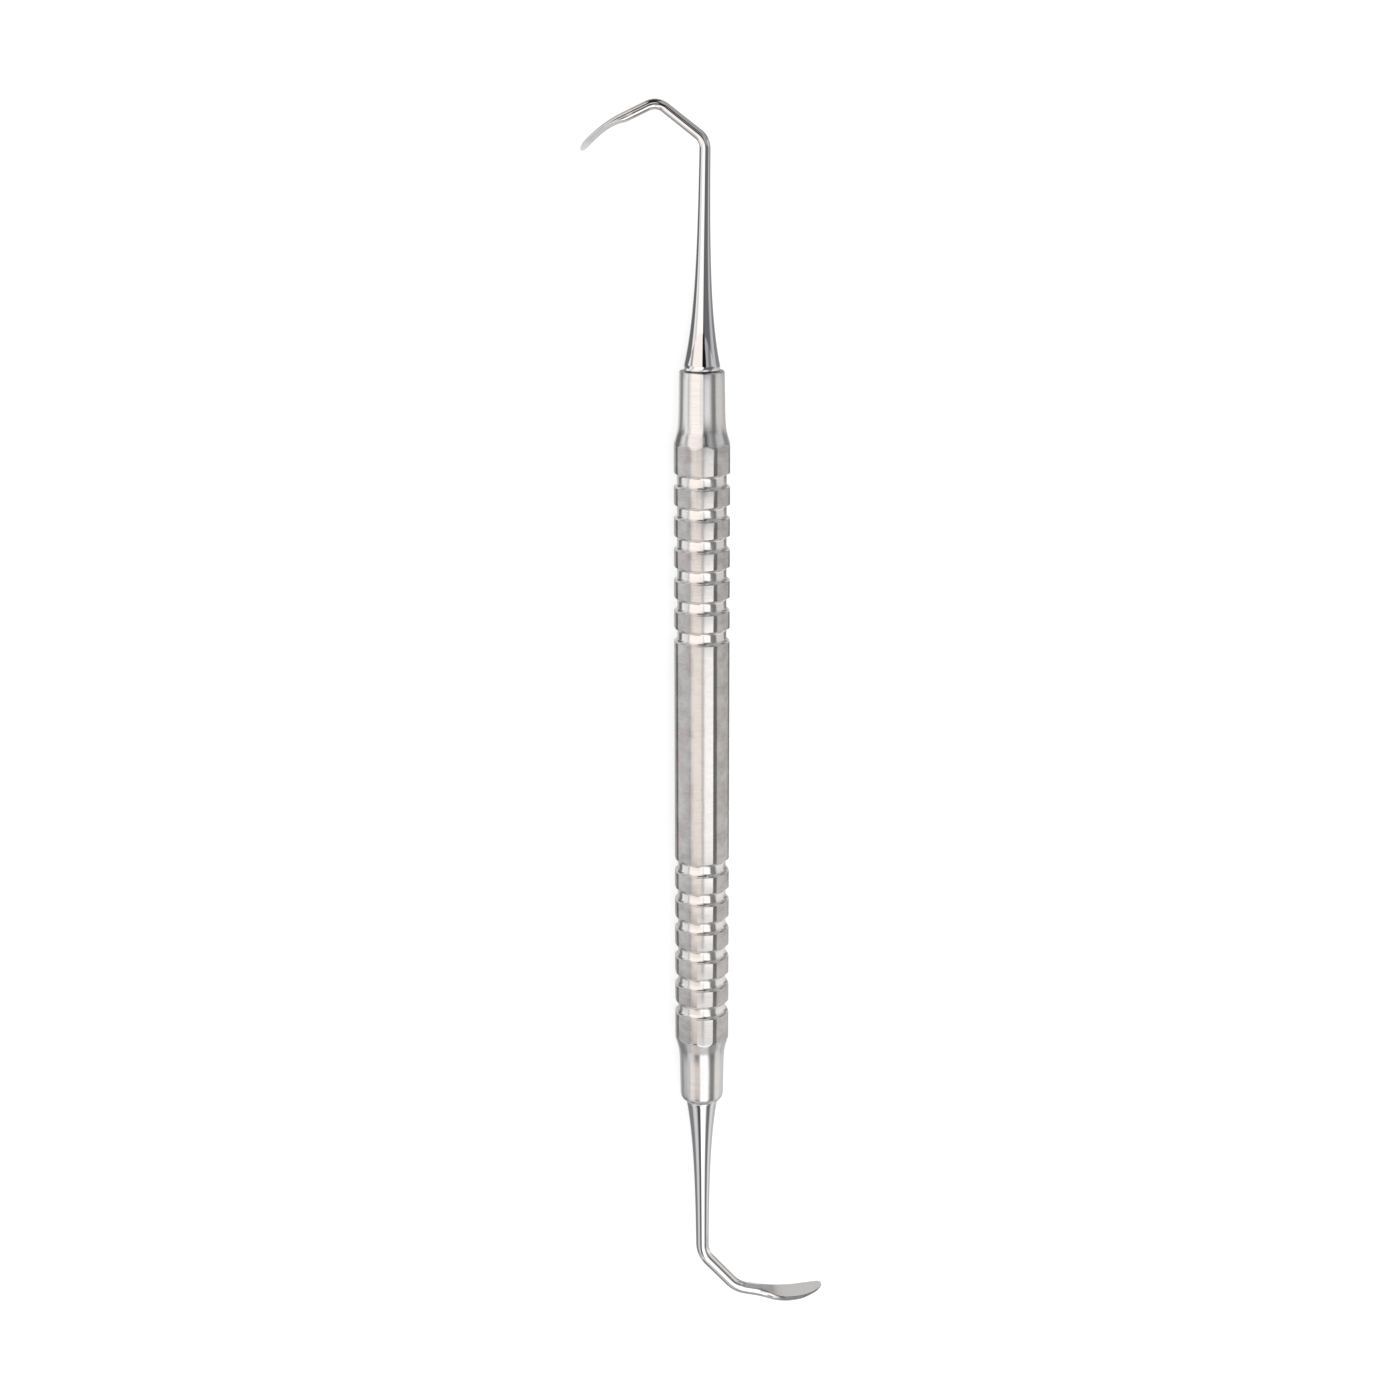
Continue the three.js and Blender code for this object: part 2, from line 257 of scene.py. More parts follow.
def mesh_object(name, rings, attributes, smooth_under=35):
    """A closed tube through rings of equal length, with a single point closing each end."""
    mesh = bpy.data.meshes.new(name)
    bm = bmesh.new()
    loops = [[bm.verts.new(Vector(p) * MM) for p in ring] for ring in rings]
    for before, after in zip(loops, loops[1:]):
        for i in range(max(len(before), len(after))):
            corners = [(before, i), (before, i + 1), (after, i + 1), (after, i)]
            quad = [loop[k % len(loop)] for loop, k in corners]
            bm.faces.new(list(dict.fromkeys(quad)))
    bmesh.ops.recalc_face_normals(bm, faces=bm.faces)
    for face in bm.faces:
        face.smooth = True
    bm.to_mesh(mesh)
    bm.free()
    for key, values in attributes.items():
        add_attribute(mesh, key, values)
    mesh.set_sharp_from_angle(angle=radians(smooth_under))
    made = bpy.data.objects.new(name, mesh)
    bpy.context.scene.collection.objects.link(made)
    return made


def make_handle():
    columns = []
    for i in range(HANDLE_COLUMNS):
        angle = 2 * pi * i / HANDLE_COLUMNS
        radius = bar_radius(angle)
        spoon_side = [(-x, r, t) for x, r, t in reversed(half_rows(SPOON_RIM, radius))]
        columns.append((angle, spoon_side + [(0, radius, 0)] + half_rows(HOOK_RIM, radius)))
    row_count = len(columns[0][1])
    bore_bottom = HALF_LENGTH - BORE_DEPTH
    rings = [[(-bore_bottom, 0, AXIS_HEIGHT)]]
    turned, painted_seam_shade = [1], [1]
    for k in range(row_count):
        ring = []
        for angle, rows in columns:
            x, r, t = rows[k]
            ring.append((x, r * sin(angle), AXIS_HEIGHT + r * cos(angle)))
            turned.append(t)
            painted_seam_shade.append(seam_shade(x, r))
        rings.append(ring)
    rings.append([(bore_bottom, 0, AXIS_HEIGHT)])
    turned.append(1)
    painted_seam_shade.append(1)
    return mesh_object("grooved_handle", rings, {"turned": turned, "painted_seam_shade": painted_seam_shade}, smooth_under=50)


# ---------------------------------------------------------------- inserts


def blade_value(rows, column, at):
    """One column of the blade's rows at a distance along it, by a cubic that doesn't overshoot."""
    last = len(rows) - 1
    i = min(max(sum(row[0] <= at for row in rows) - 1, 0), last - 1)

    def slope(k):
        return (rows[k + 1][column] - rows[k][column]) / (rows[k + 1][0] - rows[k][0])

    def tangent(k):
        if k == 0:
            return 0
        if k == last:
            return slope(last - 1)
        before, after = slope(k - 1), slope(k)
        return 0 if before * after <= 0 else 2 * before * after / (before + after)

    span = rows[i + 1][0] - rows[i][0]
    t = min(max((at - rows[i][0]) / span, 0), 1)
    return (
        (2 * t**3 - 3 * t**2 + 1) * rows[i][column]
        + (t**3 - 2 * t**2 + t) * span * tangent(i)
        + (3 * t**2 - 2 * t**3) * rows[i + 1][column]
        + (t**3 - t**2) * span * tangent(i + 1)
    )


def centreline(spec):
    """The wire's stops (distance, x, y, heading, curvature) and its whole length."""
    stops = []
    s, x, y = 0, HALF_LENGTH + SEAT_GAP + spec["collar"], 0
    heading = radians(spec["heading"])
    for straight, angle, radius in spec["bends"]:
        stops.append((s, x, y, heading, 0))
        s, x, y = s + straight, x + straight * cos(heading), y + straight * sin(heading)
        stops.append((s, x, y, heading, 1 / radius))
        turn = radians(angle)
        x += radius * (sin(heading + turn) - sin(heading))
        y += radius * (cos(heading) - cos(heading + turn))
        s += radius * turn
        heading += turn
    return stops, s


def place_on(stops, s):
    at, x, y, heading, curvature = [stop for stop in stops if stop[0] <= s][-1]
    run = s - at
    if not curvature:
        return x + run * cos(heading), y + run * sin(heading), heading
    turned = heading + run * curvature
    return (
        x + (sin(turned) - sin(heading)) / curvature,
        y + (cos(heading) - cos(turned)) / curvature,
        turned,
    )


def wire_ring(spec, stops, blade_start, s):
    """A section of the wire: an ellipse whose front is ground off flat. Returns its points, how far each
    is ground, and how strongly each is painted dark on the bevelled strip beside the face, a painted
    reflection."""
    base, shank, fall = spec["taper"]
    rows = spec["blade"]
    along = s - blade_start
    if along < 0:
        half = back = face = shank + (base - shank) * exp(-s / fall)
    else:
        half, back, face = (blade_value(rows, column, along) for column in (1, 2, 3))
    lift = radians(blade_value(rows, 4, along))
    x, y, heading = place_on(stops, s)
    across = Vector((sin(lift) * sin(heading), -sin(lift) * cos(heading), cos(lift)))
    front = Vector((-cos(lift) * sin(heading), cos(lift) * cos(heading), sin(lift)))
    centre = Vector((x, y, AXIS_HEIGHT))
    points, ground, painted_bevel_reflection = [], [], []
    blend = min(BLADE_EDGE_BLEND, back / 2)
    # How strongly the bevelled strip is painted dark here, a painted reflection.
    painted_reflection_here = spec["painted_bevel_reflection"] * min(max((along - PAINTED_REFLECTION_START) / PAINTED_REFLECTION_FADE, 0), 1)
    for i in range(WIRE_POINTS):
        angle = 2 * pi * i / WIRE_POINTS
        height = back * sin(angle)
        cut = smooth_min(height, face, blend) if along > 0 and sin(angle) > 0 else height
        points.append(centre + across * half * cos(angle) + front * cut)
        ground.append(min(max((height - face) / blend, 0), 1) if along > 0 else 0)
        painted_bevel_reflection.append(painted_reflection_here if -PAINTED_REFLECTION_BELOW * back < height <= face else 0)
    return points, ground, painted_bevel_reflection


def wire_distances(length):
    """Distances of the sections, even along the wire and closing up where the toe rounds off."""
    toe_start = length - TOE_LENGTH
    count = ceil(toe_start / WIRE_STEP)
    distances = [toe_start * i / count for i in range(count)]
    for i in range(TOE_RINGS + 1):
        distances.append(toe_start + TOE_LENGTH * sin(pi / 2 * i / TOE_RINGS))
    return distances


def make_insert(name, spec, end):
    """An insert; end is 1 where it points along +X and -1 where it is turned half round."""
    shoulder = HALF_LENGTH + SEAT_GAP
    tang_end = shoulder - TANG_LENGTH
    base = spec["taper"][0]
    rings = [[Vector((tang_end, 0, AXIS_HEIGHT))]]
    ground, along, painted_bevel_reflection = [0], [0], [0]
    for x, r in [
        (tang_end, TANG_RADIUS - TANG_CHAMFER),
        (tang_end + TANG_CHAMFER, TANG_RADIUS),
        (shoulder, TANG_RADIUS),
        (shoulder, base - COLLAR_EDGE),
        (shoulder + COLLAR_EDGE, base),
    ]:
        ring = []
        for i in range(WIRE_POINTS):
            angle = 2 * pi * i / WIRE_POINTS
            ring.append(Vector((x, r * sin(angle), AXIS_HEIGHT + r * cos(angle))))
        rings.append(ring)
        ground += [0] * WIRE_POINTS
        painted_bevel_reflection += [0] * WIRE_POINTS
        along += [x - shoulder] * WIRE_POINTS
    stops, length = centreline(spec)
    blade_start = length - spec["blade"][-1][0]
    for s in wire_distances(length):
        points, ground_here, painted_reflection_here = wire_ring(spec, stops, blade_start, s)
        rings.append(points)
        ground += ground_here
        painted_bevel_reflection += painted_reflection_here
        along += [s] * WIRE_POINTS
    rings.append([sum(rings[-1], Vector()) / WIRE_POINTS])
    ground.append(ground[-1])
    painted_bevel_reflection.append(0)
    along.append(length)
    rings = [[(end * p.x, end * p.y, p.z) for p in ring] for ring in rings]
    return mesh_object(name, rings, {"ground": ground, "painted_bevel_reflection": painted_bevel_reflection, "along": along})


# ---------------------------------------------------------------- materials


class Nodes:
    """Small helper that adds and joins shader nodes."""

    def __init__(self, tree):
        self.tree = tree
        tree.nodes.clear()

    def add(self, kind, inputs=(), **settings):
        node = self.tree.nodes.new(kind)
        for key, value in settings.items():
            setattr(node, key, value)
        for key, value in dict(inputs).items():
            if isinstance(value, bpy.types.NodeSocket):
                self.tree.links.new(value, node.inputs[key])
            else:
                node.inputs[key].default_value = value
        return node

    def math(self, operation, a, b=0.0):
        return self.add("ShaderNodeMath", {0: a, 1: b}, operation=operation).outputs[0]

    def attribute(self, name):
        return self.add("ShaderNodeAttribute", attribute_name=name).outputs["Fac"]

    def spread(self, value, low, high, to_low, to_high):
        inputs = {"Value": value, "From Min": low, "From Max": high, "To Min": to_low, "To Max": to_high}
        return self.add("ShaderNodeMapRange", inputs, clamp=True).outputs["Result"]

    def noise(self, vector, scale, detail=3.0, rough=0.5):
        inputs = {"Vector": vector, "Scale": scale, "Detail": detail, "Roughness": rough}
        return self.add("ShaderNodeTexNoise", inputs).outputs["Fac"]

    def vector(self, x, y, z):
        return self.add("ShaderNodeCombineXYZ", {"X": x, "Y": y, "Z": z}).outputs[0]

    def bump(self, height, distance, strength):
        inputs = {"Height": height, "Distance": distance, "Strength": strength}
        return self.add("ShaderNodeBump", inputs).outputs["Normal"]

    def stretched_noise(self, place, scales, detail):
        """Noise with a scale of its own along each axis."""
        scaled = [self.math("MULTIPLY", value, scale) for value, scale in zip(place, scales)]
        return self.noise(self.vector(*scaled), 1.0, detail)

    def mix_value(self, factor, a, b):
        return self.add("ShaderNodeMix", {0: factor, 2: a, 3: b}).outputs[0]

    def mix_colour(self, factor, a, b):
        node = self.add("ShaderNodeMix", data_type="RGBA")
        for key, value in ((0, factor), (6, a), (7, b)):
            if isinstance(value, bpy.types.NodeSocket):
                self.tree.links.new(value, node.inputs[key])
            else:
                node.inputs[key].default_value = value
        return node.outputs[2]

    def steel(self, colour, roughness, normal, more=()):
        inputs = {"Base Color": colour, "Roughness": roughness, "Metallic": 1.0, "Normal": normal}
        inputs |= dict(more)
        shader = self.add("ShaderNodeBsdfPrincipled", inputs)
        self.add("ShaderNodeOutputMaterial", {"Surface": shader.outputs[0]})


def new_material(name):
    material = bpy.data.materials.new(name)
    material.use_nodes = True
    return material, Nodes(material.node_tree)


SMUDGED = (0.47, 0.455, 0.45, 1)
LAPPED = (0.66, 0.65, 0.645, 1)
BLUSHED = (0.56, 0.47, 0.46, 1)
EVEN_FLAT_COLOUR = (0.62, 0.61, 0.605, 1)
STREAKED = (0.74, 0.73, 0.72, 1)
TURNED_DARK = (0.82, 0.81, 0.80, 1)
TURNED_LIGHT = (0.90, 0.89, 0.885, 1)
# Near black for the nose's end face round the insert: painted shade.
SEAM_SHADE_COLOUR = (0.02, 0.02, 0.02, 1)
POLISHED_COLOUR = (0.86, 0.86, 0.865, 1)
GROUND_COLOUR = (0.84, 0.84, 0.85, 1)
# Dark grey for the bevelled strip beside a blade's ground face: a painted reflection.
PAINTED_REFLECTION_COLOUR = (0.2, 0.2, 0.205, 1)
EVEN_FROM, EVEN_AT = 3.7, 3.82  # height above or below the axis over which a flat turns to the even colour and smoother finish
EVEN_ROUGHNESS = 0.15


def satin_steel():
    """Turned rings where the lathe has cut, and a duller, smudged and finely streaked finish on the flats.
    The top and bottom flats take an even colour, without the darker smudges, and a smoother finish than the
    others."""
    material, n = new_material("satin_steel")
    place = n.add("ShaderNodeTexCoord").outputs["Object"]
    parts = n.add("ShaderNodeSeparateXYZ", {0: place})
    x, y, z = parts.outputs
    turned = n.attribute("turned")
    rise = n.math("SUBTRACT", z, AXIS_HEIGHT * MM)
    angle = n.math("ARCTAN2", y, rise)
    rings = n.noise(n.vector(n.math("MULTIPLY", x, 9000.0), angle, 0.0), 1.0, 2.0)
    streaks = n.stretched_noise((x, y, rise), (5200.0, 500.0, 500.0), 3.0)
    smudges = n.noise(place, 430.0, 3.0, 0.6)
    blushes = n.stretched_noise((x, y, rise), (260.0, 420.0, 420.0), 2.0)
    uneven = n.noise(place, 520.0, 2.0)
    grain = n.noise(place, 4200.0, 3.0)
    flat_height = n.math("ADD", n.math("MULTIPLY", uneven, 0.6), n.math("MULTIPLY", streaks, 0.1))
    flat_height = n.math("ADD", flat_height, n.math("MULTIPLY", grain, 0.05))
    turned_height = n.math("ADD", n.math("MULTIPLY", rings, 0.02), n.math("MULTIPLY", grain, 0.02))
    turned_share = n.math("MULTIPLY", turned_height, turned)
    flat_share = n.math("MULTIPLY", flat_height, n.math("SUBTRACT", 1.0, turned))
    normal = n.bump(n.math("ADD", turned_share, flat_share), 4e-5, 0.4)
    level = n.spread(n.math("ABSOLUTE", rise), EVEN_FROM * MM, EVEN_AT * MM, 0, 1)
    flat_roughness = n.mix_value(level, n.spread(smudges, 0.3, 0.7, 0.24, 0.33), EVEN_ROUGHNESS)
    turned_roughness = n.spread(rings, 0.3, 0.7, 0.18, 0.22)
    roughness = n.mix_value(turned, flat_roughness, turned_roughness)
    dull = n.mix_colour(n.spread(smudges, 0.36, 0.62, 0, 1), SMUDGED, LAPPED)
    dull = n.mix_colour(n.spread(blushes, 0.5, 0.68, 0, 0.5), dull, BLUSHED)
    # The top and bottom flats are given an even colour without the darker smudges.
    dull = n.mix_colour(n.math("MULTIPLY", level, 0.8), dull, EVEN_FLAT_COLOUR)
    dull = n.mix_colour(n.spread(streaks, 0.45, 0.7, 0, 0.3), dull, STREAKED)
    bright = n.mix_colour(n.spread(rings, 0.3, 0.7, 0, 1), TURNED_DARK, TURNED_LIGHT)
    colour = n.mix_colour(turned, dull, bright)
    # The nose's end face round the insert is painted near black: painted shade for the gap and its dark
    # reflection.
    colour = n.mix_colour(n.attribute("painted_seam_shade"), colour, SEAM_SHADE_COLOUR)
    along_axis = n.vector(1.0, 0.0, 0.0)
    n.steel(colour, roughness, normal, {"Anisotropic": 0.8, "Tangent": along_axis})
    return material


def polished_steel():
    """Mirror polish, fine grinding marks across the blade's ground face, and a dark reflection painted on
    the bevelled strip beside it.
    """
    material, n = new_material("polished_steel")
    place = n.add("ShaderNodeTexCoord").outputs["Object"]
    ground = n.attribute("ground")
    along = n.attribute("along")
    lines = n.noise(n.vector(n.math("MULTIPLY", along, 14.0), 0.0, 0.0), 1.0, 3.0)
    fine = n.noise(place, 3000.0, 2.0)
    height = n.math("ADD", n.math("MULTIPLY", lines, ground), n.math("MULTIPLY", fine, 0.04))
    normal = n.bump(height, 1e-5, 0.4)
    roughness = n.math("ADD", n.spread(fine, 0.3, 0.7, 0.03, 0.05), n.math("MULTIPLY", ground, 0.2))
    colour = n.mix_colour(ground, POLISHED_COLOUR, GROUND_COLOUR)
    # The bevelled strip beside the ground face is painted dark: a painted reflection.
    colour = n.mix_colour(n.attribute("painted_bevel_reflection"), colour, PAINTED_REFLECTION_COLOUR)
    n.steel(colour, roughness, normal)
    return material


FLOOR_GREY = 0.42
FLOOR_GLOW = 0.68  # the light it gives off itself, which burns it out to white


def plain_floor():
    material, n = new_material("pale_floor")
    inputs = {"Base Color": (FLOOR_GREY, FLOOR_GREY, FLOOR_GREY, 1), "Roughness": 0.9}
    inputs |= {"Emission Color": (1, 1, 1, 1), "Emission Strength": FLOOR_GLOW}
    shader = n.add("ShaderNodeBsdfPrincipled", inputs)
    n.add("ShaderNodeOutputMaterial", {"Surface": shader.outputs[0]})
    return material


# ---------------------------------------------------------------- object

SATIN = satin_steel()
POLISHED = polished_steel()


def place_piece(piece, node, material):
    piece.data.materials.append(material)
    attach(piece, "root")
    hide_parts(node)


place_piece(make_handle(), "handle", SATIN)
place_piece(make_insert("hooked_insert", HOOK, 1), "hook_insert", POLISHED)
place_piece(make_insert("spoon_ended_insert", SPOON, -1), "spoon_insert", POLISHED)

# ---------------------------------------------------------------- studio

# The steel mirrors a tent of light round the handle's axis, made of bays side by side along the axis. Each
# bay is a ring of bands, given from straight down on the +Y side, over the top, to straight down on
# the -Y side: the angle where the band ends, in degrees from straight up towards -Y, its brightness
# and its tint.
TENT_RADIUS = 260
BAND_BLEND = 3  # degrees over which a band fades into the next
TENT_STEP = 5
PLAIN = (1, 1, 1)
CREAM = (1, 0.92, 0.87)
IVORY = (1, 0.98, 0.96)
WARM = (1, 0.97, 0.93)
COOL = (0.96, 0.96, 1)
TENT = [
    # bay, x from, x to, bands
    ("far_end", -700, -480, [
        (-150, 0.5, PLAIN), (-66, 0.2, PLAIN), (-20, 0.5, PLAIN), (24, 0.24, PLAIN),
        (66, 0.24, PLAIN), (180, 0.66, PLAIN),
    ]),
    ("over_spoon_cone", -480, -410, [
        (-142, 0.6, PLAIN), (-116, 0.4, PLAIN), (-70, 0.55, PLAIN), (-20, 0.86, CREAM),
        (-14, 0.64, CREAM), (26, 1, IVORY), (36, 0.66, PLAIN), (58, 0.34, PLAIN), (110, 0.78, WARM),
        (180, 0.66, PLAIN),
    ]),
    ("beside_spoon_cone", -410, -330, [
        (-116, 0.4, PLAIN), (-70, 0.45, PLAIN), (-16, 0.7, CREAM), (26, 0.34, PLAIN),
        (146, 0.28, PLAIN), (180, 0.7, PLAIN),
    ]),
    ("over_spoon_shank", -330, -200, [
        (-150, 0.5, PLAIN), (-92, 0.24, PLAIN), (-82, 0.56, COOL), (-54, 0.74, COOL),
        (-44, 0.5, COOL), (-20, 0.1, PLAIN), (-15, 0.6, PLAIN), (26, 1.45, PLAIN), (33, 0.8, PLAIN),
        (39, 0.4, PLAIN), (64, 0.18, PLAIN), (73, 0.42, PLAIN), (106, 0.76, PLAIN),
        (130, 0.5, PLAIN), (180, 0.6, PLAIN),
    ]),
    ("over_spoon_nose", -200, -157, [
        (-142, 0.54, PLAIN), (-116, 0.36, PLAIN), (-100, 0.46, PLAIN), (-70, 0.54, PLAIN),
        (-20, 0.88, CREAM), (-13, 0.66, CREAM), (27, 1.16, IVORY), (33, 0.9, WARM),
        (38, 0.6, PLAIN), (59, 0.3, PLAIN), (66, 0.5, PLAIN), (106, 0.78, WARM),
        (130, 0.66, PLAIN), (180, 0.6, PLAIN),
    ]),
    ("over_spoon_lands", -157, -112, [
        (-142, 0.55, PLAIN), (-114, 0.25, PLAIN), (-76, 0.95, PLAIN), (-66, 0.62, PLAIN),
        (1, 1.02, CREAM), (5, 0.6, WARM), (34, 1.2, IVORY), (65, 0.24, PLAIN),
        (118, 1.0, WARM), (152, 0.86, COOL), (180, 0.7, PLAIN),
    ]),
    ("over_middle", -112, -48, [
        (-142, 0.55, PLAIN), (-114, 0.2, PLAIN), (-98, 0.95, PLAIN), (-76, 0.86, PLAIN),
        (-66, 0.62, PLAIN), (1, 1.3, CREAM), (5, 0.74, CREAM), (34, 1.6, IVORY), (66, 0.2, PLAIN),
        (118, 0.74, WARM), (155, 0.28, PLAIN), (180, 0.6, PLAIN),
    ]),
    ("over_hook_lands", -48, -8, [
        (-142, 0.55, PLAIN), (-114, 0.2, PLAIN), (-98, 0.98, PLAIN), (-76, 0.88, PLAIN),
        (-66, 0.6, PLAIN), (1, 1.16, CREAM), (5, 0.68, CREAM), (34, 1.25, IVORY), (65, 0.2, PLAIN),
        (118, 0.72, WARM), (155, 0.28, PLAIN), (180, 0.6, PLAIN),
    ]),
    ("over_last_hook_land", -8, 1, [
        (-142, 0.55, PLAIN), (-114, 0.2, PLAIN), (-98, 0.98, PLAIN), (-76, 0.9, PLAIN),
        (-66, 0.7, PLAIN), (1, 1.36, CREAM), (5, 0.9, CREAM), (34, 1.5, IVORY), (65, 0.2, PLAIN),
        (118, 0.8, WARM), (155, 0.3, PLAIN), (180, 0.6, PLAIN),
    ]),
    ("over_hook_nose", 1, 45, [
        (-142, 0.7, PLAIN), (-116, 0.32, PLAIN), (-108, 0.6, PLAIN), (-82, 0.92, PLAIN),
        (-70, 0.56, PLAIN), (-61, 0.98, IVORY), (-16, 1.06, CREAM), (-10, 0.69, CREAM),
        (0, 0.84, CREAM), (9, 0.5, PLAIN), (40, 0.9, COOL), (45, 0.5, PLAIN),
        (66, 0.26, PLAIN), (116, 0.7, WARM), (180, 0.56, PLAIN),
    ]),
    ("over_hook_shank", 45, 98, [
        (-150, 0.66, WARM), (-96, 0.16, PLAIN), (-90, 0.6, PLAIN), (-76, 0.96, PLAIN),
        (-58, 0.74, PLAIN), (0, 1.16, IVORY), (5, 0.35, WARM), (64, 0.16, COOL), (76, 0.42, COOL),
        (98, 0.6, COOL), (146, 0.26, PLAIN), (180, 0.66, WARM),
    ]),
    ("over_hook_shank_base", 98, 149, [
        (-150, 0.64, WARM), (-112, 0.16, PLAIN), (-88, 0.9, PLAIN), (-70, 0.42, PLAIN),
        (-4, 1.1, CREAM), (6, 0.12, WARM), (15, 0.05, PLAIN), (38, 0.46, COOL), (58, 0.26, COOL),
        (104, 0.62, COOL), (148, 0.34, PLAIN), (180, 0.64, WARM),
    ]),
    ("over_hook_cone", 149, 175, [
        (-150, 0.66, WARM), (-116, 0.34, PLAIN), (-82, 0.9, PLAIN), (-68, 0.56, PLAIN),
        (-4, 1, CREAM), (6, 0.26, WARM), (16, 0.08, PLAIN), (38, 0.6, COOL), (64, 0.26, PLAIN),
        (116, 0.68, WARM), (148, 0.5, PLAIN), (180, 0.66, WARM),
    ]),
    ("over_hook_bend", 175, 260, [
        (-150, 0.7, WARM), (-70, 0.5, PLAIN), (-14, 1, CREAM), (-6, 0.5, CREAM), (8, 0.9, IVORY),
        (38, 0.01, PLAIN), (104, 0.36, PLAIN), (150, 0.16, PLAIN), (180, 0.7, WARM),
    ]),
    ("near_end", 260, 700, [
        (-78, 0.5, PLAIN), (-34, 0.95, CREAM), (20, 0.02, PLAIN), (60, 0.42, PLAIN),
        (104, 0.36, PLAIN), (180, 0.45, PLAIN),
    ]),
]
# A black card over the hooked end, as stations along X: x, and the angles of its two edges.
BLACK_CARD = [(66, 1, 5), (88, 1, 8), (100, 0, 13), (116, -2, 20), (146, -2, 24)]
BLACK_CARD_GAP = 4
BLACK_CARD_COLUMNS = 4
BLACK_CARD_GLOW = (0.01, 0.01, 0.012)
END_WALLS = [("near_wall", 700, 0.03), ("far_wall", -700, 0.4)]


def on_tent(x, angle, radius=TENT_RADIUS):
    turn = radians(angle)
    return Vector((x, -radius * sin(turn), AXIS_HEIGHT + radius * cos(turn))) * MM


def tent_glow():
    """Light of the colour that each point of the tent carries."""
    material, n = new_material("tent_glow")
    colour = n.add("ShaderNodeAttribute", attribute_name="glow").outputs["Color"]
    shader = n.add("ShaderNodeEmission", {"Color": colour, "Strength": 1.0})
    n.add("ShaderNodeOutputMaterial", {"Surface": shader.outputs[0]})
    return material


GLOW = tent_glow()


def card_object(name, rows, colours):
    """A card through rows of points, mirrored by the steel, but casting no shadow and not seen itself."""
    bm = bmesh.new()
    made_rows = [[bm.verts.new(p) for p in row] for row in rows]
    for before, after in zip(made_rows, made_rows[1:]):
        for i in range(len(before) - 1):
            bm.faces.new((before[i], before[i + 1], after[i + 1], after[i]))
    mesh = bpy.data.meshes.new(name)
    bm.to_mesh(mesh)
    bm.free()
    attribute = mesh.attributes.new("glow", "FLOAT_COLOR", "POINT")
    values = []
    for row, colour in zip(rows, colours):
        values += [*colour, 1] * len(row)
    attribute.data.foreach_set("color", values)
    mesh.materials.append(GLOW)
    card = bpy.data.objects.new(name, mesh)
    bpy.context.scene.collection.objects.link(card)
    card.visible_camera = False
    card.visible_diffuse = False
    card.visible_shadow = False
    card.visible_transmission = False
    card.visible_volume_scatter = False


def tent_bay(name, x_start, x_end, bands):
    stops = []
    start = -180
    for end, level, tint in bands:
        colour = [level * part for part in tint]
        near = start + BAND_BLEND / 2 if start > -180 else start
        far = end - BAND_BLEND / 2 if end < 180 else end
        steps = max(1, ceil((far - near) / TENT_STEP))
        stops += [(near + (far - near) * i / steps, colour) for i in range(steps + 1)]
        start = end
    rows = [[on_tent(x_start, angle), on_tent(x_end, angle)] for angle, _ in stops]
    card_object("tent_" + name, rows, [colour for _, colour in stops])


def end_wall(name, x, level):
    rows = [[on_tent(x, side * angle) for side in (-1, 1)] for angle in range(0, 181, TENT_STEP)]
    card_object("tent_" + name, rows, [(level, level, level)] * len(rows))


for bay in TENT:
    tent_bay(*bay)
for wall in END_WALLS:
    end_wall(*wall)


def black_card():
    rows = []
    for x, start, end in BLACK_CARD:
        angles = [start + (end - start) * i / BLACK_CARD_COLUMNS for i in range(BLACK_CARD_COLUMNS + 1)]
        rows.append([on_tent(x, angle, TENT_RADIUS - BLACK_CARD_GAP) for angle in angles])
    card_object("tent_black_card", rows, [BLACK_CARD_GLOW] * len(rows))


black_card()


FLOOR_REACH = 4000
FLOOR_HEIGHT = -0.02  # just clear of the handle's lower flat


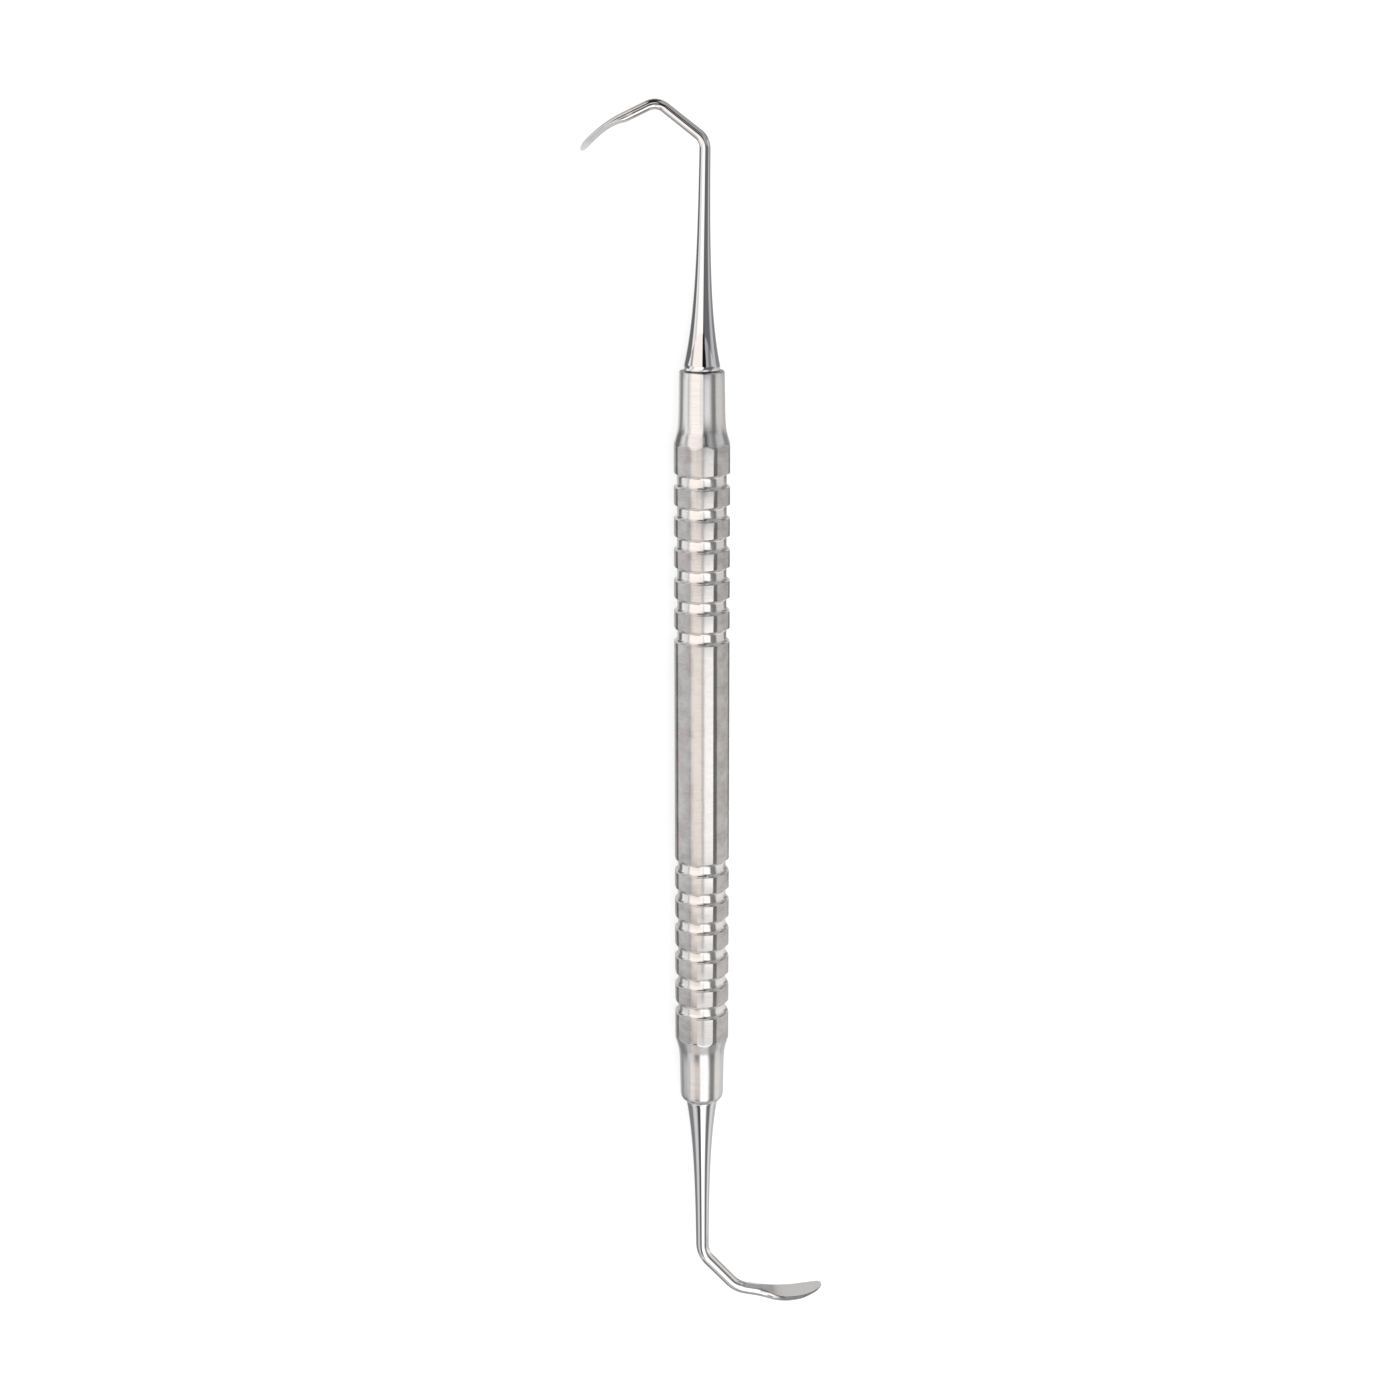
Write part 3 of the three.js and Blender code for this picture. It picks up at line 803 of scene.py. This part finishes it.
def make_floor():
    bm = bmesh.new()
    sides = [(-1, -1), (1, -1), (1, 1), (-1, 1)]
    corners = [(FLOOR_REACH * x, FLOOR_REACH * y, FLOOR_HEIGHT) for x, y in sides]
    bm.faces.new([bm.verts.new([part * MM for part in corner]) for corner in corners])
    mesh = bpy.data.meshes.new("floor")
    bm.to_mesh(mesh)
    bm.free()
    floor = bpy.data.objects.new("floor", mesh)
    bpy.context.scene.collection.objects.link(floor)
    mesh.materials.append(plain_floor())
    floor.visible_glossy = False


make_floor()


SKY_STRENGTH = 0.85


def make_world():
    world = bpy.data.worlds.new("studio")
    world.use_nodes = True
    n = Nodes(world.node_tree)
    sky = n.add("ShaderNodeBackground", {"Color": (1.0, 1.0, 1.0, 1), "Strength": SKY_STRENGTH})
    n.add("ShaderNodeOutputWorld", {"Surface": sky.outputs[0]})
    bpy.context.scene.world = world


make_world()


def soft_light(name, place, aim, size, power):
    data = bpy.data.lights.new(name, "AREA")
    data.shape = "RECTANGLE"
    data.size, data.size_y = size[0] * MM, size[1] * MM
    data.energy = power
    light = bpy.data.objects.new(name, data)
    light.location = Vector(place) * MM
    light.rotation_euler = (Vector(aim) - Vector(place)).to_track_quat("-Z", "Y").to_euler()
    light.visible_glossy = False
    bpy.context.scene.collection.objects.link(light)


soft_light("overhead", (60, -160, 620), (0, 0, 0), (520, 420), 1.6)

# ---------------------------------------------------------------- camera

TILT = radians(15.5)  # the camera looks from beyond square towards the hooked end
LEAN = radians(6)  # and from a little to its +Y side
DISTANCE = 345
AIM_UP, AIM_RIGHT = 7.356, -0.274
LENS = 59.99

towards_camera = Vector((sin(TILT), sin(LEAN) * cos(TILT), cos(LEAN) * cos(TILT)))
image_up = (Vector((1, 0, 0)) - towards_camera * towards_camera.x).normalized()
image_right = image_up.cross(towards_camera)


def make_camera():
    data = bpy.data.cameras.new("camera")
    data.lens = LENS
    data.sensor_width = 36
    camera = bpy.data.objects.new("camera", data)
    aim = Vector((0, 0, AXIS_HEIGHT)) + image_up * AIM_UP + image_right * AIM_RIGHT
    camera.matrix_world = camera_matrix(aim + towards_camera * DISTANCE)
    bpy.context.scene.collection.objects.link(camera)
    bpy.context.scene.camera = camera


def camera_matrix(place):
    columns = Matrix((image_right, image_up, towards_camera)).transposed()
    return Matrix.Translation(place * MM) @ columns.to_4x4()


make_camera()
bpy.context.scene.view_settings.view_transform = "Standard"

bpy.context.view_layer.update()
